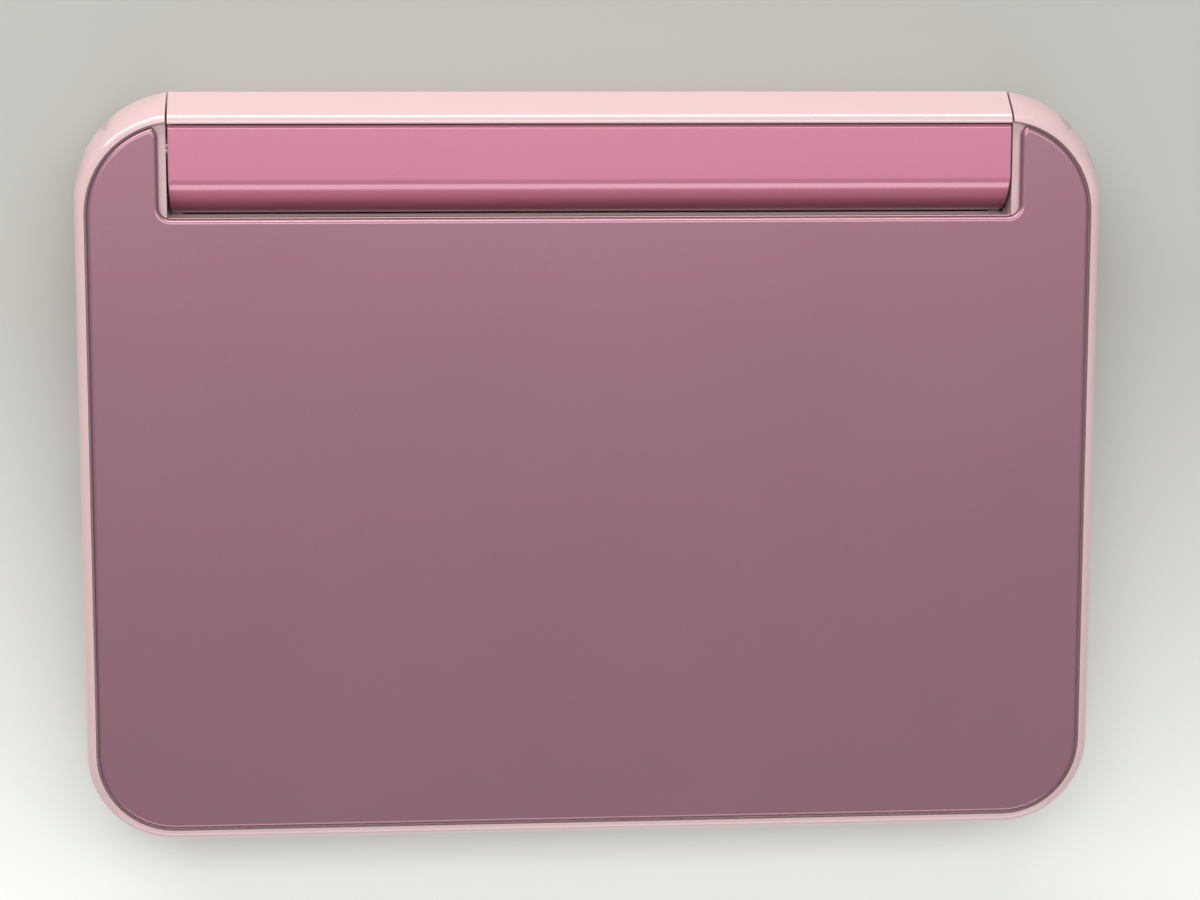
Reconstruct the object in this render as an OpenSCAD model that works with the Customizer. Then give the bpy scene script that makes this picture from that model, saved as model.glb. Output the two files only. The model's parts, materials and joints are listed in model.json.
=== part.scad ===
// Electronic dictionary: a pocket clamshell with a keyboard below and a touch screen in the lid.
// Millimetres, +Z up, +Y to the hinge, origin under the middle of the closed body.

/* [Body] */
// Width across the closed body
body_w = 152.6; // [148:0.2:160]
// Depth from front edge to hinge
body_d = 112; // [110:0.5:118]
// Height of the keyboard half above its feet, up to the joint with the lid
base_h = 11.1; // [10.9:0.1:12]
// Height of the lid, from the joint to the top of its inlaid panel
lid_h = 8.1; // [7.9:0.1:9]
// Plan radius of the two front corners
front_r = 13.2; // [10:0.2:14]
// Plan radius of the two rear corners
rear_r = 15.5; // [14:0.5:17]
// Wall thickness of the moulded shells
wall = 1.6; // [1.4:0.1:1.8]
// Thickness of the keyboard half's floor
floor_t = 1.4; // [1.2:0.1:1.6]
// Rounding of the lower edge all round
bottom_edge = 2.6; // [2:0.2:3]
// Gap between the two halves when closed
joint_gap = 0.3; // [0.2:0.05:0.4]

/* [Hinge] */
// Radius of the hinge barrel
barrel_r = 9; // [8.8:0.1:9.2]
// Length of the barrel between the lid's two knuckles
barrel_len = 125; // [118:0.5:126]
// Height of the hinge axis below the joint
axis_drop = 0.4; // [0.2:0.1:0.6]
// Height of the pink cover's flat top above the axis
flat_up = 8.2; // [8:0.1:8.4]
// Gap between the barrel's ends and the knuckles
knuckle_gap = 0.3; // [0.2:0.05:0.4]
// Radius of the two hinge pins
pin_r = 2; // [1.6:0.1:2.4]
// Radial clearance of the pins in the hinge units
pin_fit = 0.05; // [0.02:0.01:0.08]
// Length of each hinge unit
unit_len = 14; // [12:0.5:18]

/* [Lid] */
// Width of the lid's raised rim beside the inlaid panel
rim_w = 1.8; // [1.5:0.1:2.2]
// Depth of the rim behind the panel's rear tips
rear_rim = 4.5; // [4.3:0.1:5]
// Height of the inlaid panel's face above the rim
panel_proud = 0.2; // [0.1:0.05:0.3]
// Thickness of the inlaid panel
panel_t = 1.3; // [1.2:0.1:1.5]
// Width of the groove round the inlaid panel
groove_w = 0.3; // [0.2:0.05:0.4]
// Rounding of the panel's upper edge
panel_edge = 0.8; // [0.5:0.1:1]
// Rounding of the rim's upper edge
rim_edge = 1.4; // [1:0.1:1.6]
// Width of the screen's picture
screen_w = 121; // [110:1:124]
// Depth of the screen's picture
screen_d = 69; // [60:1:70]
// Thickness of the touch glass
glass_t = 0.7; // [0.5:0.1:0.8]
// Thickness of the display module
lcd_t = 2; // [1.6:0.1:2.2]
// Thickness of the screen's bezel
bezel_t = 1.1; // [1:0.1:1.3]

/* [Keyboard] */
// Distance between keys along a row
pitch_x = 13.1; // [12.8:0.1:13.4]
// Distance between rows
pitch_y = 11.6; // [11.4:0.1:12]
// Width of a letter key
key_w = 11; // [9:0.2:11.2]
// Depth of a letter key
key_d = 8.8; // [7.6:0.2:9]
// Height of the key tops below the joint
key_drop = 0.3; // [0.2:0.1:0.6]
// Depth of the keyboard's well
well_t = 1.3; // [1.2:0.1:1.4]
// Thickness of the plate round the keys
plate_t = 1.2; // [1:0.1:1.3]
// Gap round each key
key_gap = 0.25; // [0.2:0.05:0.35]
// Travel of each key
key_travel = 0.7; // [0.5:0.1:0.8]
// Radius of the round direction pad
pad_r = 13; // [12:0.5:13.5]
// Radius of the enter key in the pad's middle
enter_r = 4.8; // [4.4:0.2:5]

/* [Inside] */
// Thickness of the circuit board
board_t = 1; // [0.8:0.1:1.2]
// Thickness of the rubber key sheet
sheet_t = 0.4; // [0.4:0.1:0.6]
// Width of the battery pack
battery_w = 54; // [44:1:58]
// Depth of the battery pack
battery_d = 36; // [30:1:38]
// Height of the rubber feet
foot_h = 0.8; // [0.6:0.1:1]
// Radius of the rubber feet
foot_r = 4; // [3:0.5:5]
// Length of the stylus
stylus_len = 92; // [80:1:100]
// Radius of the stylus
stylus_r = 2.2; // [2:0.1:2.4]
// Radius of the earphone socket's hole
jack_r = 1.8; // [1.75:0.01:1.85]

/* [Hidden] */
$fn = 48;
joint_z = foot_h + base_h;
lid_z = joint_z + joint_gap;
top_z = joint_z + joint_gap + lid_h;
rim_z = top_z - panel_proud;
axis_z = joint_z - axis_drop;
half_w = body_w / 2;
front_y = -body_d / 2;
rear_y = body_d / 2;
axis_y = rear_y - barrel_r;
end_x = barrel_len / 2;
ear_x = end_x + knuckle_gap;
ridge_up = top_z - panel_proud - axis_z;
slope_up = 0.45 * barrel_r;
cover_seam = 4.3;
sweep_r = barrel_r + 1.7;
notch_y = axis_y - barrel_r - 0.4;
knuckle_run = 0.25;
barrel_floor = foot_h + wall;
unit_wall = 2;

shelf_z = top_z - panel_t;
panel_half = half_w - rim_w;
panel_front = front_y + rim_w;
panel_rear = rear_y - rear_rim;
panel_notch_x = ear_x + 1.1;
panel_front_r = front_r - rim_w;
panel_rear_r = 13.4;
panel_tip_r = 2.2;
notch_fillet = 1.75;

seat = 0.02;
fit_gap = 0.2;
bezel_z = lid_z + bezel_t;
glass_z = bezel_z + glass_t;
lid_back = shelf_z - wall;
lid_inner_rear = notch_y - wall - 2;
screen_y = (front_y + lid_inner_rear + wall) / 2;

well_z = joint_z - well_t;
plate_z = well_z - plate_t;
key_top = joint_z - key_drop;
flange_top = plate_z - 0.3;
flange_t = 0.4;
key_bottom = flange_top - flange_t;
flange_w = 0.5;
dome_top = key_bottom - key_travel - 0.1;
sheet_z = dome_top - 0.5 - sheet_t;
board_z = sheet_z - board_t;
floor_z = foot_h + floor_t;
deck_rear = axis_y - barrel_r - 0.2;
deck_middle = (front_y + deck_rear) / 2;
well_half = half_w - 6.3;
well_front = front_y + 5;
well_rear = deck_rear - 8.3;

row_q = deck_middle + 19.6;
row_a = row_q - pitch_y;
row_z = row_a - pitch_y;
row_top = row_q + pitch_y + 0.6;
row_low = row_z - 1.75 * pitch_y;
col_0 = -4.5 * pitch_x;
pad_x = 2.6 * pitch_x;
rocker_x = -3.8 * pitch_x;
hole_r = enter_r + 0.6;
pivot_h = 0.5;
pivot_t = 0.2;
pivot_r = hole_r + 1.2;
rocker_w = key_w + 6;
rocker_d = 1.5 * key_d;

stylus_y = deck_rear - 4.6;
stylus_z = foot_h + 4.7;
silo_r = stylus_r + 1.3;
stylus_fit = 0.05;
silo_start = half_w - stylus_len - wall;
jack_y = deck_middle + 23.1;
jack_z = foot_h + 4;
jack_len = 13;
usb_y = jack_y - 20;
usb_w = 7.5;
card_y = jack_y - 11;
card_w = 12;
card_len = 14;
port_z = foot_h + 3.2;
board_half = half_w - jack_len - 5.3;
board_front = row_low - pad_r - 1;
board_rear = stylus_y - silo_r - 0.7;
sheet_half = 4.5 * pitch_x + 3.5;
post_y = usb_y - usb_w / 2 - 7;
battery_y = deck_middle - 4.9;
battery_t = board_z - floor_z - 0.5;
cable_w = 12;
cable_t = 0.3;
cable_x = silo_start - 0.7 - cable_w;
speaker_w = 20;
speaker_d = 7.2;
speaker_x = cable_x - 2 - speaker_w / 2;
speaker_y = stylus_y + 1.2;
grille_pitch = 2.4;
boss_r = 2.4;
screw_r = 0.9;

letters_q = ["q", "w", "e", "r", "t", "y", "u", "i", "o", "p"];
letters_a = ["a", "s", "d", "f", "g", "h", "j", "k", "l"];
letters_z = ["z", "x", "c", "v", "b", "n", "m"];
function key_name(letter) = str("key_", letter);
letter_nodes = [for (row = [letters_q, letters_a, letters_z]) for (c = row) key_name(c)];

shell_pink = [0.95, 0.80, 0.82];
bar_pink = [0.84, 0.56, 0.65];
mauve = [0.60, 0.44, 0.49];
key_white = [0.96, 0.93, 0.93];
dark = [0.12, 0.12, 0.13];
steel = [0.72, 0.72, 0.74];
board_green = [0.10, 0.35, 0.22];

// A rectangle with round front and rear corners, in plan
module outline(half, front, rear, rf, rr) {
    translate([-half, front + rf]) square([2 * half, rear - rr - front - rf]);
    translate([-half + rf, front]) square([2 * (half - rf), rf + 0.01]);
    translate([-half + rr, rear - rr - 0.01]) square([2 * (half - rr), rr + 0.01]);
    for (s = [-1, 1]) {
        translate([s * (half - rf), front + rf]) circle(rf);
        translate([s * (half - rr), rear - rr]) circle(rr);
    }
}

// Half of a slab's section, whose upper edge is rounded
module edge_section(run, h, e) {
    square([run, h - e]);
    square([run - e, h]);
    intersection() {
        translate([run - e, h - e]) circle(e);
        square([run, h]);
    }
}

// A slab with round corners and a rounded upper edge: four corners, four edges, and a core that
// reaches into them all
module soft_slab(half, front, rear, rf, rr, h, e) {
    side = max(rf, rr);
    in = e + 0.2;
    for (s = [0, 1]) mirror([s, 0, 0]) {
        translate([half - rf, front + rf]) rotate([0, 0, -90])
            rotate_extrude(angle = 90) edge_section(rf, h, e);
        translate([half - rr, rear - rr]) rotate_extrude(angle = 90) edge_section(rr, h, e);
        translate([half - side, rear - rr]) rotate([90, 0, 0])
            linear_extrude(rear - rr - front - rf) edge_section(side, h, e);
    }
    translate([half - rf, front + rf]) rotate([90, 0, -90])
        linear_extrude(2 * (half - rf)) edge_section(rf, h, e);
    translate([rr - half, rear - rr]) rotate([90, 0, 90])
        linear_extrude(2 * (half - rr)) edge_section(rr, h, e);
    linear_extrude(h) outline(half - in, front + in, rear - in, rf - in, rr - in);
}

// A straight cut or bar along X, drawn in the plane that looks along the hinge
module along_x(x0, x1) {
    translate([x0, 0, 0]) rotate([90, 0, 90]) linear_extrude(x1 - x0) children();
}

module at_axis() {
    translate([axis_y, axis_z]) children();
}

// Height above the axis and setback from the rear of the sloping face and its round ridge,
// which barrel and knuckles share
ridge = [[slope_up, 0], [ridge_up - 0.8, 2.9], [ridge_up - 0.25, 3.5], [ridge_up, 4.2]];

module rear_profile() {
    polygon(concat([[0, 0], [barrel_r, 0]], [for (p = ridge) [barrel_r - p[1], p[0]]],
        [[cover_seam - 0.1, ridge_up - 0.15], [0, ridge_up - 0.3]]));
}

module front_profile(shrink) {
    intersection() {
        circle(barrel_r - shrink);
        translate([-barrel_r, 0]) square([barrel_r + cover_seam, flat_up - shrink]);
    }
}

// The keyboard half's outline, with room behind for the lid's knuckles
module base_plan(inset) {
    outline(half_w - inset, front_y + inset, axis_y + 20 - inset, front_r - inset, 4);
}

module knuckle_room(extra) {
    for (s = [0, 1]) mirror([s, 0, 0]) {
        along_x(end_x - extra, half_w + 1) at_axis() {
            circle(barrel_r + knuckle_run);
            translate([-0.8 * barrel_r, -30]) square([60, 60]);
        }
    }
}

module lower_barrel(shrink) {
    at_axis() {
        circle(barrel_r - shrink);
        translate([0.4 * barrel_r, -base_h + axis_drop + 4]) circle(4 - shrink);
        translate([-2 * barrel_r, -base_h + axis_drop + shrink])
            square([2.4 * barrel_r, base_h - axis_drop - shrink]);
        translate([0, -base_h + axis_drop + 4])
            square([0.4 * barrel_r + 4 - shrink, 3]);
    }
}

screw_in = 5.4;
screw_spots = [[half_w - 8.1, front_y + 7.8], [half_w - screw_in, row_low + 6],
    [half_w - screw_in, deck_rear - 12.3]];
module at_screws() {
    for (s = [-1, 1], p = screw_spots) translate([s * p[0], p[1], 0]) children();
}

foot_spots = [[half_w - 20.3, front_y + 14], [half_w - 22.3, axis_y - 10]];
module at_feet() {
    for (s = [-1, 1], p = foot_spots) translate([s * p[0], p[1], 0]) children();
}

module door_shape(gap) {
    translate([-battery_w / 2 - 3 - gap, battery_y - battery_d / 2 - 2 - gap, 0])
        cube([battery_w + 6 + 2 * gap, battery_d + 4 + 2 * gap, floor_t / 2]);
    translate([-battery_w / 2 - 1 - gap, battery_y - battery_d / 2 - gap, 0])
        cube([battery_w + 2 + 2 * gap, battery_d + 2 * gap, floor_t]);
}

module case_block(inset, from) {
    intersection() {
        translate([0, 0, from]) linear_extrude(plate_z - from) base_plan(inset);
        along_x(-half_w, half_w) {
            translate([front_y, 0]) square([deck_rear - front_y + 0.2, plate_z]);
            lower_barrel(inset > 0 ? wall : 0);
        }
    }
}

// The floor's plan edge is rounded by the slab turned upside down
module case_skin() {
    intersection() {
        translate([0, 0, foot_h + 30]) mirror([0, 0, 1])
            soft_slab(half_w, front_y, axis_y + 20, front_r, front_r, 30, bottom_edge);
        union() {
            case_block(0, foot_h);
            along_x(-end_x, end_x) intersection() {
                lower_barrel(0);
                translate([deck_rear, 0]) square([30, axis_z]);
            }
        }
    }
}

module case_cavity() {
    difference() {
        intersection() {
            translate([0, 0, floor_z]) linear_extrude(30) base_plan(wall);
            along_x(-half_w, half_w) translate([front_y, 0])
                square([deck_rear - wall - front_y, 40]);
        }
        knuckle_room(wall);
    }
    along_x(wall - end_x, end_x - wall) intersection() {
        lower_barrel(wall);
        translate([deck_rear - wall - 0.1, floor_z]) square([30, 30]);
    }
}

module unit_space() {
    for (s = [0, 1]) mirror([s, 0, 0]) {
        translate([end_x - wall - 1, axis_y - pin_r - fit_gap, barrel_floor])
            cube([wall + 2, 2 * (pin_r + fit_gap), 30]);
        translate([end_x - wall - 1, axis_y, axis_z]) rotate([0, 90, 0])
            cylinder(r = pin_r + unit_wall + fit_gap, h = wall + 2);
    }
}

module silo(r) {
    translate([silo_start, stylus_y, stylus_z]) rotate([0, 90, 0])
        cylinder(r = r, h = stylus_len + wall + 1);
}

module bottom_case() {
    color(shell_pink) difference() {
        union() {
            difference() {
                case_skin();
                case_cavity();
            }
            intersection() {
                union() {
                    silo(silo_r);
                    at_screws() translate([0, 0, foot_h + 1])
                        cylinder(r = boss_r, h = plate_z - foot_h - 1);
                    for (s = [-1, 1]) translate([s * (board_half - 4) - 2, post_y - 3, floor_z])
                        cube([4, 6, board_z - floor_z]);
                }
                translate([0, 0, foot_h]) linear_extrude(plate_z - foot_h) base_plan(wall / 2);
            }
        }
        knuckle_room(0);
        unit_space();
        silo(stylus_r + stylus_fit);
        translate([half_w - 0.7, stylus_y - stylus_r - 0.8, stylus_z - stylus_r - 0.8])
            cube([2, 2 * stylus_r + 1.6, 2 * stylus_r + 1.6]);
        at_screws() translate([0, 0, foot_h - 1]) cylinder(r = screw_r + 0.1, h = 20);
        at_screws() translate([0, 0, foot_h - 1]) cylinder(r = 2 * screw_r + 0.1, h = 2.2);
        at_feet() translate([0, 0, foot_h - 1]) cylinder(r = foot_r + 0.1, h = 1.3);
        translate([0, 0, foot_h]) door_shape(0.15);
        translate([-half_w - 1, jack_y, jack_z]) rotate([0, 90, 0]) cylinder(r = jack_r + 0.7, h = 4);
        translate([-half_w - 1, usb_y - usb_w / 2 - 0.35, port_z - 1.7])
            cube([4, usb_w + 0.7, 3.4]);
        translate([half_w - 3, card_y - card_w / 2 - 0.2, port_z - 0.9])
            cube([4, card_w + 0.4, 1.8]);
    }
}

function col(i) = col_0 + i * pitch_x;

module key_plan(w, d) {
    outline(w / 2, -d / 2, d / 2, min(2.2, w / 3), min(2.2, w / 3));
}

module key_cap(x, y, w, d, tint) {
    color(tint) translate([x, y, 0]) {
        translate([0, 0, key_bottom])
            soft_slab(w / 2, -d / 2, d / 2, 2.2, 2.2, key_top - key_bottom, 0.5);
        translate([0, 0, key_bottom]) linear_extrude(flange_t) outline(
            w / 2 + flange_w, -d / 2 - flange_w, d / 2 + flange_w, 2.2, 2.2);
    }
}

// Every rectangular key: name, place and size
plain_keys = concat(
    [for (i = [0:len(letters_q) - 1]) [key_name(letters_q[i]), col(i), row_q, key_w, key_d]],
    [for (i = [0:len(letters_a) - 1]) [key_name(letters_a[i]), col(i + 0.5), row_a, key_w, key_d]],
    [for (i = [0:len(letters_z) - 1]) [key_name(letters_z[i]), col(i + 1), row_z, key_w, key_d]],
    [["key_shift", col(0), row_z, key_w, key_d],
     ["key_delete", col(8.5), row_z, key_w + pitch_x, key_d],
     ["key_space", col(3.2), row_low, key_w + 1.4 * pitch_x, key_d],
     ["key_back", col(5.1), row_low, key_w, key_d],
     ["key_power", col(0.5), row_top, key_w, 0.68 * key_d],
     ["key_menu", col(1.5), row_top, key_w, 0.68 * key_d]]);

module keyboard_deck() {
    color(shell_pink) difference() {
        union() {
            translate([0, 0, plate_z]) intersection() {
                linear_extrude(joint_z - plate_z) base_plan(0);
                translate([-half_w, front_y, 0]) cube([body_w, deck_rear - front_y, 20]);
            }
            at_screws() translate([0, 0, plate_z]) cylinder(r = boss_r, h = 1);
        }
        knuckle_room(0);
        translate([0, 0, well_z]) linear_extrude(10) outline(well_half, well_front, well_rear, 6, 3);
        for (k = plain_keys) translate([k[1], k[2], plate_z - 1]) linear_extrude(10)
            key_plan(k[3] + 2 * key_gap, k[4] + 2 * key_gap);
        translate([rocker_x, row_low, plate_z - 1]) linear_extrude(10)
            key_plan(rocker_w + 2 * key_gap, rocker_d + 2 * key_gap);
        translate([pad_x, row_low, plate_z - 1]) cylinder(r = pad_r + key_gap, h = 10);
        for (i = [0:5], j = [0:1])
            translate([speaker_x + grille_pitch * (i - 2.5), speaker_y + grille_pitch * (j - 0.5),
                plate_z - 1]) cylinder(r = 0.6, h = 10);
        at_screws() translate([0, 0, plate_z - 1]) cylinder(r = screw_r, h = 2.4);
    }
}

module plain_key(name) {
    for (k = plain_keys) if (k[0] == name) key_cap(k[1], k[2], k[3], k[4], key_white);
}

module page_rocker() {
    color(key_white) translate([rocker_x, row_low, key_bottom]) {
        soft_slab(rocker_w / 2, -rocker_d / 2, rocker_d / 2, 2.2, 2.2, key_top - key_bottom, 0.5);
        translate([-rocker_w / 2 - 1, -1, 0]) cube([rocker_w + 2, 2, flange_t]);
    }
}

module nav_pad() {
    color(key_white) translate([pad_x, row_low, key_bottom + pivot_h]) difference() {
        rotate_extrude() edge_section(pad_r, key_top - key_bottom - pivot_h, 0.6);
        translate([0, 0, -1]) cylinder(r = hole_r, h = 10);
    }
}

module nav_pivot() {
    color(dark) translate([pad_x, row_low, key_bottom]) difference() {
        cylinder(r = pivot_r, h = pivot_t);
        translate([0, 0, -1]) cylinder(r = hole_r, h = 10);
    }
}

module key_enter() {
    color(bar_pink) translate([pad_x, row_low, key_bottom]) rotate_extrude()
        edge_section(enter_r, key_top - key_bottom - 0.1, 0.5);
}

module key_sheet() {
    color("whitesmoke") {
        translate([0, 0, sheet_z]) linear_extrude(sheet_t)
            outline(sheet_half, board_front, board_rear, 4, 4);
        for (k = plain_keys) translate([k[1], k[2], sheet_z])
            cylinder(r = 2.4, h = dome_top - sheet_z);
        translate([pad_x, row_low, sheet_z]) cylinder(r = 3, h = dome_top - sheet_z);
        for (s = [-1, 1]) translate([rocker_x, row_low + s * rocker_d / 3, sheet_z])
            cylinder(r = 2, h = dome_top - sheet_z);
        for (a = [0:90:270]) translate([pad_x, row_low, sheet_z]) rotate([0, 0, a])
            translate([pad_r - 2.4, 0, 0]) cylinder(r = 1.6, h = dome_top - sheet_z);
    }
}

module main_board() {
    color(board_green) difference() {
        translate([0, 0, board_z]) linear_extrude(board_t)
            outline(board_half, board_front, board_rear, 3, 3);
        translate([0, 0, board_z - 1]) cylinder(r = 2, h = 5);
    }
}

module battery_pack() {
    color("silver") translate([0, 0, floor_z + fit_gap])
        soft_slab(battery_w / 2, battery_y - battery_d / 2 + 1, battery_y + battery_d / 2 - 1,
            2, 2, battery_t, 0.8);
}

module battery_door() {
    color(shell_pink) translate([0, 0, foot_h]) door_shape(0);
}

module speaker() {
    color(dark) translate([speaker_x, speaker_y, plate_z - 3.6]) {
        translate([-speaker_w / 2, -speaker_d / 2, 0]) cube([speaker_w, speaker_d, 3]);
        translate([1.4 - speaker_w / 2, 0.8 - speaker_d / 2, 2.9])
            cube([speaker_w - 2.8, speaker_d - 1.6, 0.7]);
    }
}

module usb_port() {
    color(steel) translate([-half_w + 1, usb_y - usb_w / 2, port_z - 1.3]) difference() {
        cube([6.5, usb_w, 2.6]);
        translate([-1, 0.4, 0.4]) cube([6.5, usb_w - 0.8, 1.8]);
        translate([-1, 2, 1]) cube([4, usb_w - 4, 0.5]);
    }
}

module earphone_jack() {
    color(dark) difference() {
        union() {
            translate([wall - half_w, jack_y - 3, jack_z - 2.1]) cube([jack_len - wall, 6, 4.2]);
            translate([-half_w + 0.3, jack_y, jack_z]) rotate([0, 90, 0])
                cylinder(r = jack_r + 0.6, h = wall);
        }
        translate([-half_w, jack_y, jack_z]) rotate([0, 90, 0]) cylinder(r = jack_r, h = jack_len - 1);
    }
}

module card_slot() {
    color(steel) translate([half_w - wall - card_len, card_y - card_w / 2, port_z - 0.9]) difference() {
        cube([card_len, card_w, 1.8]);
        translate([1, 0.5, 0.4]) cube([card_len, card_w - 1, 0.9]);
    }
}

module rubber_feet() {
    color(dark) at_feet() cylinder(r = foot_r, h = foot_h + 0.3);
}

module case_screws() {
    color(steel) at_screws() translate([0, 0, foot_h + 0.2]) {
        cylinder(r = 2 * screw_r, h = 1);
        cylinder(r = screw_r, h = plate_z - foot_h + 0.8);
    }
}

module barrel_front_cover() {
    color(bar_pink) along_x(-end_x, end_x) at_axis() difference() {
        front_profile(0);
        front_profile(wall);
    }
}

module barrel_rear_cover() {
    color(shell_pink) along_x(-end_x, end_x) at_axis() intersection() {
        difference() {
            rear_profile();
            translate([-wall, -wall]) rear_profile();
        }
        translate([cover_seam + 0.15, 0]) square([20, 20]);
    }
}

module unit_body(x0, r) {
    translate([x0, axis_y, axis_z]) rotate([0, 90, 0]) cylinder(r = r, h = unit_len);
}

module hinge_units() {
    color(steel) for (s = [0, 1]) mirror([s, 0, 0]) difference() {
        union() {
            unit_body(end_x - unit_len, pin_r + unit_wall);
            translate([end_x - unit_len, axis_y - pin_r, barrel_floor])
                cube([unit_len, 2 * pin_r, axis_z - barrel_floor]);
        }
        translate([end_x - unit_len - 1, axis_y, axis_z]) rotate([0, 90, 0])
            cylinder(r = pin_r + pin_fit, h = unit_len + 2);
    }
}

module hinge_pins() {
    color(steel) for (s = [0, 1]) mirror([s, 0, 0])
        translate([end_x - unit_len + 1, axis_y, axis_z]) rotate([0, 90, 0])
            cylinder(r = pin_r, h = unit_len - 1 + knuckle_gap + 8);
}

module display_cable() {
    color("peru") {
        translate([cable_x, board_rear - 3, board_z - cable_t - seat])
            cube([cable_w, axis_y - board_rear + 1.6, cable_t]);
    }
}

// The lid's knuckle, flush with the barrel at the rear
module knuckle_profile() {
    at_axis() {
        circle(barrel_r);
        polygon(concat([[0, 0], [barrel_r, 0]], [for (p = ridge) [barrel_r - p[1], p[0]]],
            [[-20, ridge_up], [-20, lid_z - axis_z], [-barrel_r + 0.1, lid_z - axis_z]]));
    }
}

module lid_skin() {
    intersection() {
        soft_slab(half_w, front_y, rear_y, front_r, rear_r, rim_z, rim_edge);
        union() {
            translate([-half_w, front_y, lid_z]) cube([body_w, notch_y - front_y + 0.1, 20]);
            for (s = [0, 1]) mirror([s, 0, 0]) along_x(ear_x, half_w) knuckle_profile();
        }
        corner_slope();
    }
}

// The ridge turns from the rear to the sides, and its slope fades out on the way
module corner_slope() {
    levels = [[-axis_z, 1, 0], [slope_up, 1, 0], [ridge_up - 0.8, 0.1, 2.9],
              [ridge_up - 0.25, -0.2, 3.5], [ridge_up + 0.01, -0.7, 4.2]];
    hull() for (l = levels) translate([0, 0, axis_z + l[0]]) linear_extrude(0.01)
        outline(half_w + l[1], front_y - 2 + l[2] / 3, rear_y - l[2], front_r + l[1],
            rear_r + l[1] - 0.2 * l[2], $fn = 96);
}

module panel_plan(gap) {
    outline(panel_half + gap, panel_front - gap, notch_y + 0.01, panel_front_r + gap, 0.01);
    for (s = [0, 1]) mirror([s, 0, 0]) intersection() {
        outline(panel_half + gap, panel_front, panel_rear + gap, panel_front_r, panel_rear_r + gap);
        translate([panel_notch_x, notch_y - 1]) square([half_w, rear_y]);
    }
}

module lid_shell() {
    color(shell_pink) difference() {
        lid_skin();
        along_x(-ear_x, ear_x) at_axis() circle(sweep_r);
        translate([0, 0, shelf_z]) linear_extrude(10) {
            panel_plan(groove_w);
            intersection() {
                outline(panel_half, panel_front, panel_rear + groove_w, panel_front_r, panel_rear_r);
                translate([-panel_notch_x - 1, notch_y - 3]) square([2 * panel_notch_x + 2, rear_y]);
            }
        }
        translate([0, 0, lid_z - 1]) linear_extrude(lid_back - lid_z + 1)
            outline(half_w - wall, front_y + wall, lid_inner_rear, front_r - wall, 3);
        for (s = [0, 1]) mirror([s, 0, 0]) translate([ear_x - 1, axis_y, axis_z])
            rotate([0, 90, 0]) cylinder(r = pin_r + seat, h = 9);
    }
}

module lid_panel() {
    h = panel_t;
    color(mauve) translate([0, 0, shelf_z]) {
        soft_slab(panel_half, panel_front, notch_y, panel_front_r, panel_tip_r, h, panel_edge);
        for (s = [0, 1]) mirror([s, 0, 0]) {
            panel_ear(h);
            notch_corner(h, notch_fillet, panel_edge);
        }
    }
}

// The round inner corner beside the notch for the barrel
module notch_corner(h, r, e) {
    translate([panel_notch_x - r, notch_y + r, 0]) difference() {
        translate([0, -r - e, 0]) cube([r + e, r + e, h]);
        rotate_extrude() difference() {
            square([r + e, h + 1]);
            translate([r, -1]) square([e + 1, h - e + 1]);
            translate([r + e, h - e]) circle(e);
        }
    }
}

module panel_ear(h) {
    intersection() {
        soft_slab(panel_half, panel_front, panel_rear, panel_front_r, panel_rear_r, h, panel_edge);
        translate([panel_half, 0, 0]) soft_slab(
            panel_half - panel_notch_x, notch_y - 12, panel_rear, 2, panel_tip_r, h, panel_edge);
    }
}

module screen_bezel() {
    color(key_white) difference() {
        translate([0, 0, lid_z]) linear_extrude(bezel_t)
            outline(half_w - wall - fit_gap, front_y + wall + fit_gap, lid_inner_rear - fit_gap,
                front_r - wall, 3);
        translate([-screen_w / 2, screen_y - screen_d / 2, lid_z - 1]) cube([screen_w, screen_d, 5]);
    }
}

module touch_glass() {
    color([0.2, 0.22, 0.25]) translate([-screen_w / 2 - 2, screen_y - screen_d / 2 - 2, bezel_z])
        cube([screen_w + 4, screen_d + 4, glass_t]);
}

module lcd_module() {
    color(dark) translate([-screen_w / 2 - 2, screen_y - screen_d / 2 - 2, glass_z])
        cube([screen_w + 4, screen_d + 4, lcd_t]);
}

bumper_x = half_w - 8;
module lid_bumpers() {
    color(dark) for (s = [-1, 1]) translate([s * bumper_x, front_y + 12, lid_z - 0.2])
        cylinder(r = 1.6, h = 0.2);
}

module stylus() {
    color(shell_pink) translate([half_w, stylus_y, stylus_z]) rotate([0, -90, 0]) {
        cylinder(r = stylus_r, h = stylus_len - 6);
        translate([0, 0, stylus_len - 6]) rotate_extrude() polygon(
            [[0, 0], [stylus_r - 0.3, 0], [0.6, 5], [0, 5.4]]);
    }
}

bottom_case();
keyboard_deck();
barrel_front_cover();
barrel_rear_cover();
hinge_units();
hinge_pins();
key_sheet();
main_board();
battery_pack();
battery_door();
speaker();
usb_port();
earphone_jack();
card_slot();
rubber_feet();
case_screws();
display_cable();
lid_shell();
lid_panel();
screen_bezel();
lcd_module();
touch_glass();
lid_bumpers();
stylus();
nav_pivot();
nav_pad();
key_enter();
page_rocker();
for (k = plain_keys) plain_key(k[0]);
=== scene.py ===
"""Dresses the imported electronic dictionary: moulded shells, lid panel, keys with legends, and a studio."""

import json
import math

import bpy
from bpy.props import FloatProperty, FloatVectorProperty, PointerProperty
from mathutils import Matrix, Vector
from mathutils.kdtree import KDTree


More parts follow.
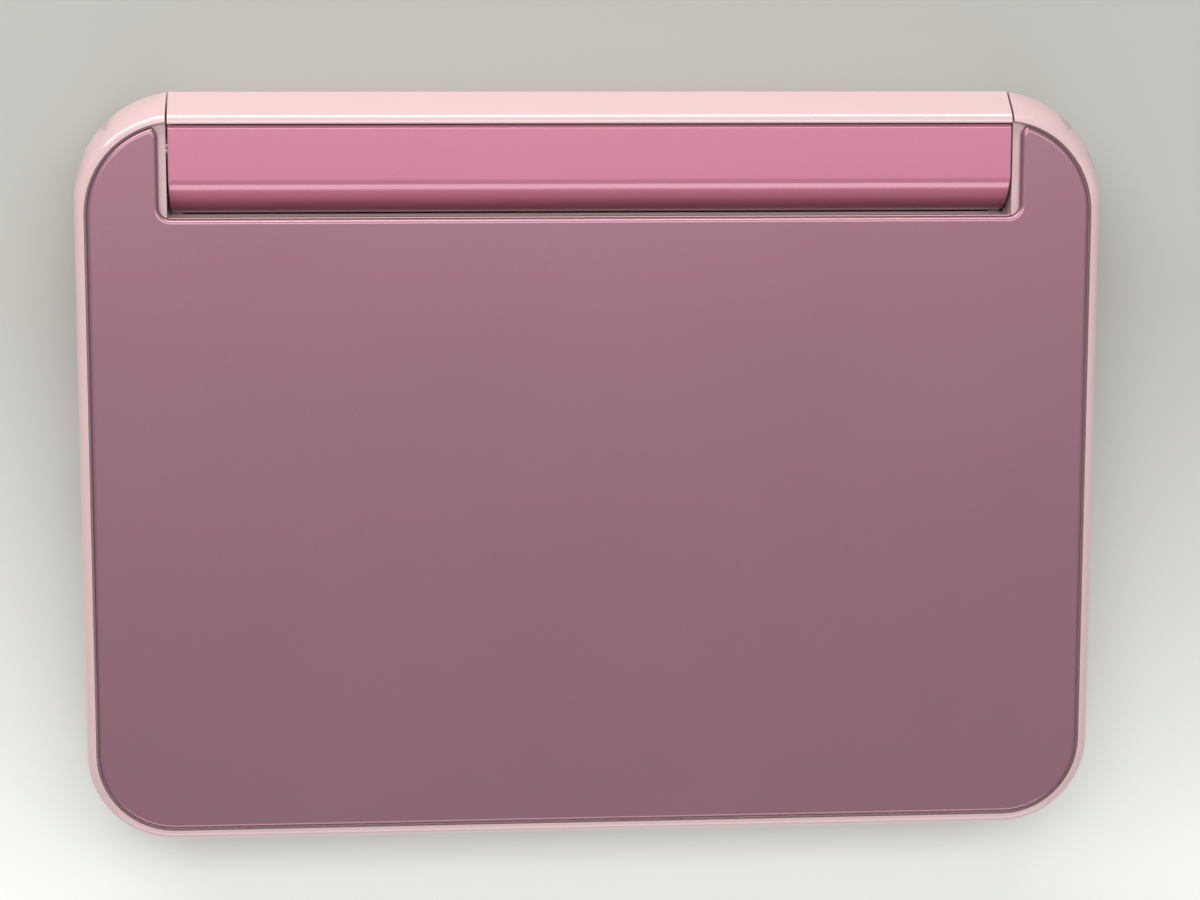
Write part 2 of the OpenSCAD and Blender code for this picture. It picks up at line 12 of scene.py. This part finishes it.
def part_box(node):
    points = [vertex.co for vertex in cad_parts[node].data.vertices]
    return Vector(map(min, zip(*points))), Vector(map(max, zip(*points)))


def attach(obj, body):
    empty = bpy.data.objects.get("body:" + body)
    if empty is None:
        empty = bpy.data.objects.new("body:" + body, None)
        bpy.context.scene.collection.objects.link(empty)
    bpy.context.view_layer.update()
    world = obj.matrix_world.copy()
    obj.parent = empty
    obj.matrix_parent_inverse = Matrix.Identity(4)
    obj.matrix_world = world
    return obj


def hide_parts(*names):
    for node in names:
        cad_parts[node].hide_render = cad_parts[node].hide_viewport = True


bl_info = {
    "name": "Electronic dictionary",
    "version": (1, 0, 0),
    "blender": (4, 5, 0),
    "location": "View3D > Sidebar > Dictionary",
    "description": "Finishes a clamshell electronic dictionary and its studio",
    "category": "Object",
}

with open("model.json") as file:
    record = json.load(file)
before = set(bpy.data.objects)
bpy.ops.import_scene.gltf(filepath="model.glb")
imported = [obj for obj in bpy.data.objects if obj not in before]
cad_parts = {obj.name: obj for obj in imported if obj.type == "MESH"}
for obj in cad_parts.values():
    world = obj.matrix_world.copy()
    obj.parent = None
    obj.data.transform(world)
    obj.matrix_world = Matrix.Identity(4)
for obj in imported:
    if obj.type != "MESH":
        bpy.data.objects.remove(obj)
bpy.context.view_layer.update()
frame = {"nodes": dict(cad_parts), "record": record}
NODES = frame["nodes"]
MM = 0.001
SLOT_OF = {s["node"]: s["material_slot"] for s in frame["record"]["subparts"]}
BODY_OF = {n: b for b, names in frame["record"]["behaviour"]["bodies"].items() for n in names}

# Mesh work on the mouldings: distances in metres, angles in degrees
WELD_DISTANCE = 0.000002
FLAT_MERGE_ANGLE = 0.3
BEVEL_ANGLE = 35.0
BEVEL_SEGMENTS = 3
COVER_SOFTNESS = 2.2
SMOOTH_ANGLE = 28
NORMAL_WEIGHT = 50

# A face is square to an axis when the largest part of its normal is above these
SQUARE_FACE = 0.99999
SHELL_FLAT = 0.9995

# The lid shell's corners lie beyond these distances from its middle
CORNER_X = 0.055
CORNER_Y = 0.025

# Points that sample a face start here and take these steps, which spread them evenly
SAMPLE_START = 1 / 3
SAMPLE_STEP_U = 0.7549
SAMPLE_STEP_V = 0.5698

# Printed signs
LETTER_SIZE = 4.4 * MM
WORD_SIZE = 3.1 * MM
INK_HEIGHT = 0.01 * MM
ARROW_RADIUS = 1.1 * MM
ARROW_HEIGHT = 0.012 * MM
PAD_ARROW_REACH = 9.2 * MM
ROCKER_ARROW_REACH = 4.2 * MM

# Height of the fine bumps in every finish
GRAIN_DEPTH = 0.00002

# Floor: its size, how far in front and behind its painted light and shade change, and the painted tones from
# front to rear: darker towards the rear as painted shade, brightest just in front of the dictionary where
# painted light lifts its cast shadow
FLOOR_SIZE = 20.0
FLOOR_REACH = 0.25
FLOOR_ROUGHNESS = 0.7
FLOOR_PAINTED_SHADE_TONES = [
    (0.0, (0.70, 0.70, 0.68)),
    (0.36, (0.77, 0.79, 0.755)),
    (0.416, (0.63, 0.645, 0.615)),
    (0.548, (0.41, 0.405, 0.378)),
    (0.65, (0.375, 0.373, 0.346)),
    (1.0, (0.45, 0.45, 0.43)),
]

# Camera and lights
SENSOR_WIDTH = 36
CLIP_START = 0.01
LIGHT_AIM = (0, 0, 0)
WARM_LIGHT = (1, 0.99, 0.98)
WHITE_LIGHT = (1, 1, 1)
ROOM_COLOUR = (0.93, 0.94, 0.95, 1)


class DictionaryFinish(bpy.types.PropertyGroup):
    """Sizes of the finish, and the colours of the mouldings"""
    edge_bevel: FloatProperty(name="Edge bevel", description="Width of the softened moulding edges",
                              default=0.00018, min=0.00005, max=0.0005, unit="LENGTH")
    case_colour: FloatVectorProperty(name="Case", description="Colour of the pale shells", subtype="COLOR",
                                     size=3, default=(0.545, 0.375, 0.38))
    cover_colour: FloatVectorProperty(name="Barrel cover", description="Colour of the hinge barrel's cover",
                                      subtype="COLOR", size=3, default=(0.465, 0.152, 0.230))
    panel_colour: FloatVectorProperty(name="Lid panel", description="Colour of the inlaid lid panel",
                                      subtype="COLOR", size=3, default=(0.280, 0.128, 0.172))
    key_colour: FloatVectorProperty(name="Keys", description="Colour of the key caps", subtype="COLOR",
                                    size=3, default=(0.84, 0.78, 0.78))


class DictionaryStage(bpy.types.PropertyGroup):
    """Camera, floor and lights"""
    lens: FloatProperty(name="Lens", description="Focal length of the camera", default=87.5, min=30, max=150)
    camera_place: FloatVectorProperty(name="Camera", description="Where the camera stands", size=3,
                                      subtype="XYZ", unit="LENGTH", default=(-0.0350, 0.0654, 0.4507))
    camera_aim: FloatVectorProperty(name="View direction", description="Direction the camera looks in",
                                    size=3, subtype="XYZ", default=(0.0821, -0.1433, -0.9863))
    camera_up: FloatVectorProperty(name="Up", description="Direction of the picture's upper edge",
                                   size=3, subtype="XYZ", default=(0.0106, 0.9897, -0.1430))
    key_power: FloatProperty(name="Key light", description="Power of the light behind the hinge",
                             default=3.0, min=0, subtype="POWER")
    rear_power: FloatProperty(name="Rear light", description="Power of the low light behind the hinge",
                              default=3.2, min=0, subtype="POWER")
    fill_power: FloatProperty(name="Fill light", description="Power of the light in front",
                              default=1.2, min=0, subtype="POWER")
    world_strength: FloatProperty(name="Room", description="Brightness of the room around",
                                  default=0.6, min=0)


def deselect():
    """Leaves object mode with nothing selected."""
    if bpy.context.object and bpy.context.object.mode != "OBJECT":
        bpy.ops.object.mode_set(mode="OBJECT")
    bpy.ops.object.select_all(action="DESELECT")


def activate(obj):
    """Makes one object the only selected and active one."""
    deselect()
    obj.select_set(True)
    bpy.context.view_layer.objects.active = obj


def settle(obj):
    """Applies an object's place, so that it sits at the origin."""
    activate(obj)
    bpy.ops.object.transform_apply(location=True, rotation=True, scale=True)


def put_on(obj, material, body, slot, *replaced):
    """Gives a piece its material and body, and hides the nodes it stands for. The slot is not used."""
    obj.data.materials.clear()
    obj.data.materials.append(material)
    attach(obj, body)
    if replaced:
        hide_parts(*replaced)


def link(tree, a, b):
    """Joins an output socket to an input socket."""
    tree.links.new(a, b)


def grain_group():
    """Colour mottling, speckle and fine bump shared by every moulded and painted surface."""
    name = "Surface Grain"
    if name in bpy.data.node_groups:
        return bpy.data.node_groups[name]
    group = bpy.data.node_groups.new(name, "ShaderNodeTree")
    face = group.interface
    for label, default in [("Speckle Scale", 9000.0), ("Speckle", 0.1), ("Mottle Scale", 40.0),
                           ("Mottle", 0.05), ("Rough", 0.35), ("Rough Range", 0.08), ("Bump", 0.1)]:
        face.new_socket(label, in_out="INPUT", socket_type="NodeSocketFloat").default_value = default
    colour = face.new_socket("Colour", in_out="INPUT", socket_type="NodeSocketColor")
    colour.default_value = (0.5, 0.5, 0.5, 1)
    face.new_socket("Colour", in_out="OUTPUT", socket_type="NodeSocketColor")
    face.new_socket("Roughness", in_out="OUTPUT", socket_type="NodeSocketFloat")
    face.new_socket("Normal", in_out="OUTPUT", socket_type="NodeSocketVector")
    nodes = group.nodes
    entry = nodes.new("NodeGroupInput")
    leave = nodes.new("NodeGroupOutput")
    place = nodes.new("ShaderNodeTexCoord")

    def noise(scale_name, detail):
        """Noise on the object's own coordinates, at a scale that the group's input gives."""
        n = nodes.new("ShaderNodeTexNoise")
        n.inputs["Detail"].default_value = detail
        link(group, place.outputs["Object"], n.inputs["Vector"])
        link(group, entry.outputs[scale_name], n.inputs["Scale"])
        return n.outputs["Fac"]

    def sums(operation, a, b):
        """One step of arithmetic on sockets or numbers."""
        m = nodes.new("ShaderNodeMath")
        m.operation = operation
        for i, v in enumerate((a, b)):
            if isinstance(v, (int, float)):
                m.inputs[i].default_value = v
            else:
                link(group, v, m.inputs[i])
        return m.outputs[0]

    speck = noise("Speckle Scale", 1.0)
    mottle = noise("Mottle Scale", 3.0)
    speck_off = sums("MULTIPLY", sums("SUBTRACT", speck, 0.5), entry.outputs["Speckle"])
    mottle_off = sums("MULTIPLY", sums("SUBTRACT", mottle, 0.5), entry.outputs["Mottle"])
    value = sums("ADD", sums("ADD", speck_off, mottle_off), 1.0)
    tone = nodes.new("ShaderNodeHueSaturation")
    link(group, entry.outputs["Colour"], tone.inputs["Color"])
    link(group, value, tone.inputs["Value"])
    link(group, tone.outputs["Color"], leave.inputs["Colour"])
    rough_off = sums("MULTIPLY", sums("SUBTRACT", mottle, 0.5), entry.outputs["Rough Range"])
    link(group, sums("ADD", entry.outputs["Rough"], rough_off), leave.inputs["Roughness"])
    bump = nodes.new("ShaderNodeBump")
    bump.inputs["Distance"].default_value = GRAIN_DEPTH
    link(group, entry.outputs["Bump"], bump.inputs["Strength"])
    link(group, speck, bump.inputs["Height"])
    link(group, bump.outputs["Normal"], leave.inputs["Normal"])
    return group


def finish_material(name, colour, grain=None, **shader):
    """A Principled material whose colour, roughness and normal come from the shared grain."""
    material = bpy.data.materials.new(name)
    material.use_nodes = True
    nodes = material.node_tree.nodes
    bsdf = nodes["Principled BSDF"]
    for socket, value in shader.items():
        bsdf.inputs[socket.replace("_", " ")].default_value = value
    group = nodes.new("ShaderNodeGroup")
    group.node_tree = grain_group()
    group.inputs["Colour"].default_value = (*colour, 1)
    for socket, value in (grain or {}).items():
        group.inputs[socket.replace("_", " ")].default_value = value
    link(material.node_tree, group.outputs["Colour"], bsdf.inputs["Base Color"])
    link(material.node_tree, group.outputs["Roughness"], bsdf.inputs["Roughness"])
    link(material.node_tree, group.outputs["Normal"], bsdf.inputs["Normal"])
    return material


def build_materials(look):
    """One material for each slot of the record."""
    plastic = dict(Speckle=0.03, Mottle=0.02, Rough=0.36, Rough_Range=0.05, Bump=0.05)
    return {
        "case_pink": finish_material("case_pink", look.case_colour, plastic, Coat_Weight=1.0,
                                     Coat_Roughness=0.10, Subsurface_Weight=0.08, Subsurface_Scale=0.002),
        "cover_rose": finish_material("cover_rose", look.cover_colour,
                                      dict(Speckle=0.22, Mottle=0.03, Rough=0.30, Rough_Range=0.04, Bump=0.1),
                                      Metallic=0.3, Coat_Weight=1.0, Coat_Roughness=0.04),
        "panel_mauve": finish_material("panel_mauve", look.panel_colour,
                                       dict(Speckle=0.30, Mottle=0.04, Rough=0.38, Rough_Range=0.05,
                                            Bump=0.15),
                                       Metallic=0.75, Coat_Weight=1.0, Coat_Roughness=0.08),
        "key_white": finish_material("key_white", look.key_colour,
                                     dict(Speckle=0.04, Mottle=0.02, Rough=0.45, Bump=0.12)),
        "dark_plastic": finish_material("dark_plastic", (0.03, 0.03, 0.034),
                                        dict(Speckle=0.2, Rough=0.5, Bump=0.3, Speckle_Scale=4000)),
        "steel": finish_material("steel", (0.58, 0.58, 0.60), dict(Speckle=0.2, Rough=0.3), Metallic=1.0),
        "sheet_rubber": finish_material("sheet_rubber", (0.62, 0.60, 0.60), dict(Rough=0.7)),
        "board_green": finish_material("board_green", (0.02, 0.12, 0.06), dict(Rough=0.4, Mottle=0.3)),
        "battery_foil": finish_material("battery_foil", (0.6, 0.6, 0.62), dict(Rough=0.35), Metallic=0.9),
        "foot_rubber": finish_material("foot_rubber", (0.05, 0.045, 0.05),
                                       dict(Speckle=0.3, Rough=0.75, Bump=0.5, Speckle_Scale=3000)),
        "cable_amber": finish_material("cable_amber", (0.5, 0.24, 0.05), dict(Rough=0.35)),
        "bezel_white": finish_material("bezel_white", (0.80, 0.72, 0.73),
                                       dict(Speckle=0.03, Rough=0.3), Coat_Weight=0.3, Coat_Roughness=0.1),
        "display_dark": finish_material("display_dark", (0.015, 0.016, 0.02), dict(Rough=0.4)),
        "legend_ink": finish_material("legend_ink", (0.16, 0.12, 0.14), dict(Rough=0.55, Mottle=0.1)),
        "screen_glass": finish_material("screen_glass", (0.012, 0.013, 0.016),
                                        dict(Speckle=0.0, Mottle=0.1, Rough=0.06, Rough_Range=0.02, Bump=0.0),
                                        Coat_Weight=1.0, Coat_Roughness=0.03),
    }


MATERIALS = {}


def material_of(slot):
    """The material of a slot. All of them are built when the first is asked for."""
    if not MATERIALS:
        MATERIALS.update(build_materials(bpy.context.scene.dictionary_finish))
    return MATERIALS[slot]


class DICTIONARY_OT_cad_finish(bpy.types.Operator):
    """Gives every CAD node the finish of its slot"""
    bl_idname = "dictionary.cad_finish"
    bl_label = "Finish the CAD pieces"

    def execute(self, context):
        for name, obj in NODES.items():
            obj.data.materials.clear()
            obj.data.materials.append(material_of(SLOT_OF[name]))
        return {"FINISHED"}


def even_normals(obj):
    """Smooth shading whose normals follow the large faces, so that flats stay flat beside round edges."""
    activate(obj)
    bpy.ops.object.shade_smooth_by_angle(angle=math.radians(SMOOTH_ANGLE))
    weighted = obj.modifiers.new("Even normals", "WEIGHTED_NORMAL")
    weighted.mode = "FACE_AREA"
    weighted.weight = NORMAL_WEIGHT
    weighted.keep_sharp = True
    bpy.ops.object.modifier_apply(modifier=weighted.name)
    mesh = obj.data
    normals = [Vector(n.vector) for n in mesh.corner_normals]
    for face in mesh.polygons:
        if max(abs(v) for v in face.normal) > SQUARE_FACE:
            for loop in face.loop_indices:
                normals[loop] = face.normal.copy()
    mesh.normals_split_custom_set(normals)


def moulded_copy(node, bevel):
    """A copy of a node's mesh, merged and with softened edges, that stands for the node."""
    source = NODES[node]
    copy = bpy.data.objects.new(node + "_moulding", source.data.copy())
    bpy.context.scene.collection.objects.link(copy)
    activate(copy)
    bpy.ops.object.mode_set(mode="EDIT")
    bpy.ops.mesh.select_all(action="SELECT")
    bpy.ops.mesh.remove_doubles(threshold=WELD_DISTANCE)
    if bevel:
        bpy.ops.mesh.dissolve_limited(angle_limit=math.radians(FLAT_MERGE_ANGLE))
    bpy.ops.object.mode_set(mode="OBJECT")
    if bevel:
        soft = copy.modifiers.new("Soft edges", "BEVEL")
        soft.width = bevel
        soft.segments = BEVEL_SEGMENTS
        soft.limit_method = "ANGLE"
        soft.angle_limit = math.radians(BEVEL_ANGLE)
        bpy.ops.object.modifier_apply(modifier=soft.name)
    even_normals(copy)
    put_on(copy, material_of(SLOT_OF[node]), BODY_OF[node], SLOT_OF[node], node)
    return copy


def blend_normals(obj, zone, reach=0.0013, spacing=0.0004, likeness=0.8):
    """Evens the shading where thin facets meet.

    Each face corner takes the mean normal of the surface round it. Faces square to an axis are flats
    of the shell, and keep theirs."""
    mesh = obj.data
    faces = [f for f in mesh.polygons if any(zone(mesh.vertices[v].co) for v in f.vertices)]
    samples = []
    for face in faces:
        a, b, c = (mesh.vertices[v].co for v in face.vertices[:3])
        count = max(1, round(face.area / spacing ** 2))
        for i in range(count):
            u = (SAMPLE_START + i * SAMPLE_STEP_U) % 1
            v = (SAMPLE_START + i * SAMPLE_STEP_V) % 1
            if u + v > 1:
                u, v = 1 - u, 1 - v
            samples.append((a + u * (b - a) + v * (c - a), face.normal.copy(), face.area / count))
    tree = KDTree(len(samples))
    for i, sample in enumerate(samples):
        tree.insert(sample[0], i)
    tree.balance()
    normals = [Vector(n.vector) for n in mesh.corner_normals]
    for face in faces:
        if max(abs(v) for v in face.normal) > SHELL_FLAT:
            continue
        for loop in face.loop_indices:
            corner = mesh.vertices[mesh.loops[loop].vertex_index].co
            total = Vector((0, 0, 0))
            for _, i, distance in tree.find_range(corner, reach):
                normal, area = samples[i][1:]
                if normal.dot(face.normal) > likeness:
                    total += normal * area * (1 - distance / reach)
            if total.length > 0:
                normals[loop] = total.normalized()
    mesh.normals_split_custom_set(normals)


def in_lid_corner(place):
    """Tells whether a point of the lid shell lies in one of its four corners."""
    return abs(place.x) > CORNER_X and abs(place.y) > CORNER_Y


class DICTIONARY_OT_mouldings(bpy.types.Operator):
    """Softens the edges of the shells, covers and keys"""
    bl_idname = "dictionary.mouldings"
    bl_label = "Soften the mouldings"

    def execute(self, context):
        width = context.scene.dictionary_finish.edge_bevel
        nodes = ["bottom_case", "barrel_rear_cover", "screen_bezel",
                 "battery_door", "stylus", "nav_pad", "page_rocker", "key_enter"]
        nodes += [n for n in NODES if n.startswith("key_") and n not in ("key_sheet", "key_enter")]
        for node in nodes:
            moulded_copy(node, width)
        moulded_copy("barrel_front_cover", COVER_SOFTNESS * width)
        moulded_copy("lid_panel", 0)
        moulded_copy("keyboard_deck", 0)
        shell = moulded_copy("lid_shell", 0)
        blend_normals(shell, in_lid_corner)
        return {"FINISHED"}


def legend(words, place, size, body, name):
    """A flat printed sign on a key, centred on a place."""
    bpy.ops.object.text_add(location=place)
    sign = bpy.context.object
    sign.name = name
    sign.data.body = words
    sign.data.size = size
    sign.data.extrude = INK_HEIGHT
    sign.data.align_x = "CENTER"
    sign.data.align_y = "CENTER"
    activate(sign)
    bpy.ops.object.convert(target="MESH")
    settle(sign)
    put_on(sign, material_of("legend_ink"), body, "dark_plastic")


class DICTIONARY_OT_legends(bpy.types.Operator):
    """Prints the letters and signs on the keys"""
    bl_idname = "dictionary.legends"
    bl_label = "Print the key legends"

    def execute(self, context):
        words = {n: n[-1].upper() for n in NODES if len(n) == 5 and n.startswith("key_")}
        words.update(key_shift="shift", key_delete="delete", key_space="space", key_back="back",
                     key_power="on", key_menu="menu", key_enter="OK")
        for node, word in words.items():
            low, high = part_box(node)
            size = LETTER_SIZE if len(word) == 1 else WORD_SIZE
            place = ((low.x + high.x) / 2, (low.y + high.y) / 2, high.z)
            legend(word, place, size, BODY_OF[node], node + "_legend")
        self.arrows("nav_pad", PAD_ARROW_REACH, (0, 90, 180, 270))
        self.arrows("page_rocker", ROCKER_ARROW_REACH, (90, 270))
        return {"FINISHED"}

    def arrows(self, node, reach, turns):
        """Small triangles that point outwards."""
        low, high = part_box(node)
        middle = (low + high) / 2
        for turn in turns:
            a = math.radians(turn)
            place = (middle.x + reach * math.cos(a), middle.y + reach * math.sin(a), high.z)
            bpy.ops.mesh.primitive_circle_add(vertices=3, radius=ARROW_RADIUS, fill_type="NGON",
                                              location=place, rotation=(0, 0, a - math.pi / 2))
            arrow = bpy.context.object
            arrow.name = f"{node}_arrow_{turn}"
            settle(arrow)
            bpy.ops.object.mode_set(mode="EDIT")
            bpy.ops.mesh.select_all(action="SELECT")
            bpy.ops.mesh.extrude_region_move(TRANSFORM_OT_translate={"value": (0, 0, ARROW_HEIGHT)})
            bpy.ops.mesh.select_all(action="SELECT")
            bpy.ops.mesh.normals_make_consistent(inside=False)
            bpy.ops.object.mode_set(mode="OBJECT")
            put_on(arrow, material_of("legend_ink"), BODY_OF[node], "dark_plastic")


class DICTIONARY_OT_stage(bpy.types.Operator):
    """Sets the floor, lights and camera"""
    bl_idname = "dictionary.stage"
    bl_label = "Set the stage"

    def floor(self):
        """A matt floor with painted light and shade: its tone darkens from front to rear, and is brightest
        just in front of the dictionary.
        """
        bpy.ops.mesh.primitive_plane_add(size=FLOOR_SIZE, location=(0, 0, 0))
        ground = bpy.context.object
        ground.name = "floor"
        material = bpy.data.materials.new("floor_painted_shade")
        material.use_nodes = True
        tree = material.node_tree
        nodes = tree.nodes
        bsdf = nodes["Principled BSDF"]
        bsdf.inputs["Roughness"].default_value = FLOOR_ROUGHNESS
        place = nodes.new("ShaderNodeTexCoord")
        split = nodes.new("ShaderNodeSeparateXYZ")
        link(tree, place.outputs["Object"], split.inputs[0])
        span = nodes.new("ShaderNodeMapRange")
        span.inputs["From Min"].default_value = -FLOOR_REACH
        span.inputs["From Max"].default_value = FLOOR_REACH
        link(tree, split.outputs["Y"], span.inputs["Value"])
        # Painted light and shade: the ramp darkens the floor's colour towards the rear and brightens it just
        # in front of the dictionary, where it lifts the cast shadow
        ramp = nodes.new("ShaderNodeValToRGB")
        for position, _ in FLOOR_PAINTED_SHADE_TONES[1:-1]:
            ramp.color_ramp.elements.new(position)
        for element, (position, tone) in zip(ramp.color_ramp.elements, FLOOR_PAINTED_SHADE_TONES):
            element.position = position
            element.color = (*tone, 1)
        link(tree, span.outputs["Result"], ramp.inputs["Fac"])
        link(tree, ramp.outputs["Color"], bsdf.inputs["Base Color"])
        ground.data.materials.append(material)

    def lamp(self, name, place, size, power, colour):
        """A rectangular light that looks at the middle of the floor."""
        data = bpy.data.lights.new(name, "AREA")
        data.shape = "RECTANGLE"
        data.size, data.size_y = size
        data.energy = power
        data.color = colour
        obj = bpy.data.objects.new(name, data)
        obj.location = place
        obj.rotation_euler = (Vector(LIGHT_AIM) - Vector(place)).to_track_quat("-Z", "Y").to_euler()
        bpy.context.scene.collection.objects.link(obj)

    def camera(self, stage):
        """The camera of the photograph."""
        data = bpy.data.cameras.new("photo_camera")
        data.sensor_width = SENSOR_WIDTH
        data.lens = stage.lens
        data.clip_start = CLIP_START
        obj = bpy.data.objects.new("photo_camera", data)
        forward = Vector(stage.camera_aim).normalized()
        up = Vector(stage.camera_up).normalized()
        right = forward.cross(up).normalized()
        up = right.cross(forward)
        turn = Matrix((right, up, -forward)).transposed()
        obj.matrix_world = Matrix.Translation(Vector(stage.camera_place)) @ turn.to_4x4()
        bpy.context.scene.collection.objects.link(obj)
        bpy.context.scene.camera = obj

    def execute(self, context):
        stage = context.scene.dictionary_stage
        deselect()
        self.floor()
        self.lamp("rear_softbox", (0.0, 0.24, 0.74), (0.9, 0.24), stage.key_power, WARM_LIGHT)
        self.lamp("rear_strip", (-0.12, 0.52, 0.25), (0.8, 0.14), stage.rear_power, WARM_LIGHT)
        self.lamp("front_strip", (0.0, -0.55, 0.27), (0.9, 0.16), stage.fill_power, WHITE_LIGHT)
        self.camera(stage)
        world = bpy.data.worlds.new("studio")
        world.use_nodes = True
        background = world.node_tree.nodes["Background"]
        background.inputs["Color"].default_value = ROOM_COLOUR
        background.inputs["Strength"].default_value = stage.world_strength
        context.scene.world = world
        context.scene.view_settings.view_transform = "Standard"
        return {"FINISHED"}


class DICTIONARY_PT_panel(bpy.types.Panel):
    """Shows the dictionary's operators and settings"""
    bl_label = "Dictionary"
    bl_idname = "DICTIONARY_PT_panel"
    bl_space_type = "VIEW_3D"
    bl_region_type = "UI"
    bl_category = "Dictionary"

    def draw(self, context):
        for operator in OPERATORS:
            self.layout.operator(operator.bl_idname)
        for group in (context.scene.dictionary_finish, context.scene.dictionary_stage):
            for name in group.__annotations__:
                self.layout.prop(group, name)


OPERATORS = (DICTIONARY_OT_cad_finish, DICTIONARY_OT_mouldings,
             DICTIONARY_OT_legends, DICTIONARY_OT_stage)
CLASSES = (DictionaryFinish, DictionaryStage, *OPERATORS, DICTIONARY_PT_panel)


def register():
    """Registers the classes and hangs both groups of settings on the scene."""
    for cls in CLASSES:
        bpy.utils.register_class(cls)
    bpy.types.Scene.dictionary_finish = PointerProperty(type=DictionaryFinish)
    bpy.types.Scene.dictionary_stage = PointerProperty(type=DictionaryStage)


def unregister():
    """Takes away what register added."""
    del bpy.types.Scene.dictionary_stage
    del bpy.types.Scene.dictionary_finish
    for cls in reversed(CLASSES):
        bpy.utils.unregister_class(cls)


def main():
    register()
    for operator in OPERATORS:
        group, name = operator.bl_idname.split(".")
        getattr(getattr(bpy.ops, group), name)()


if __name__ == "__main__":
    main()
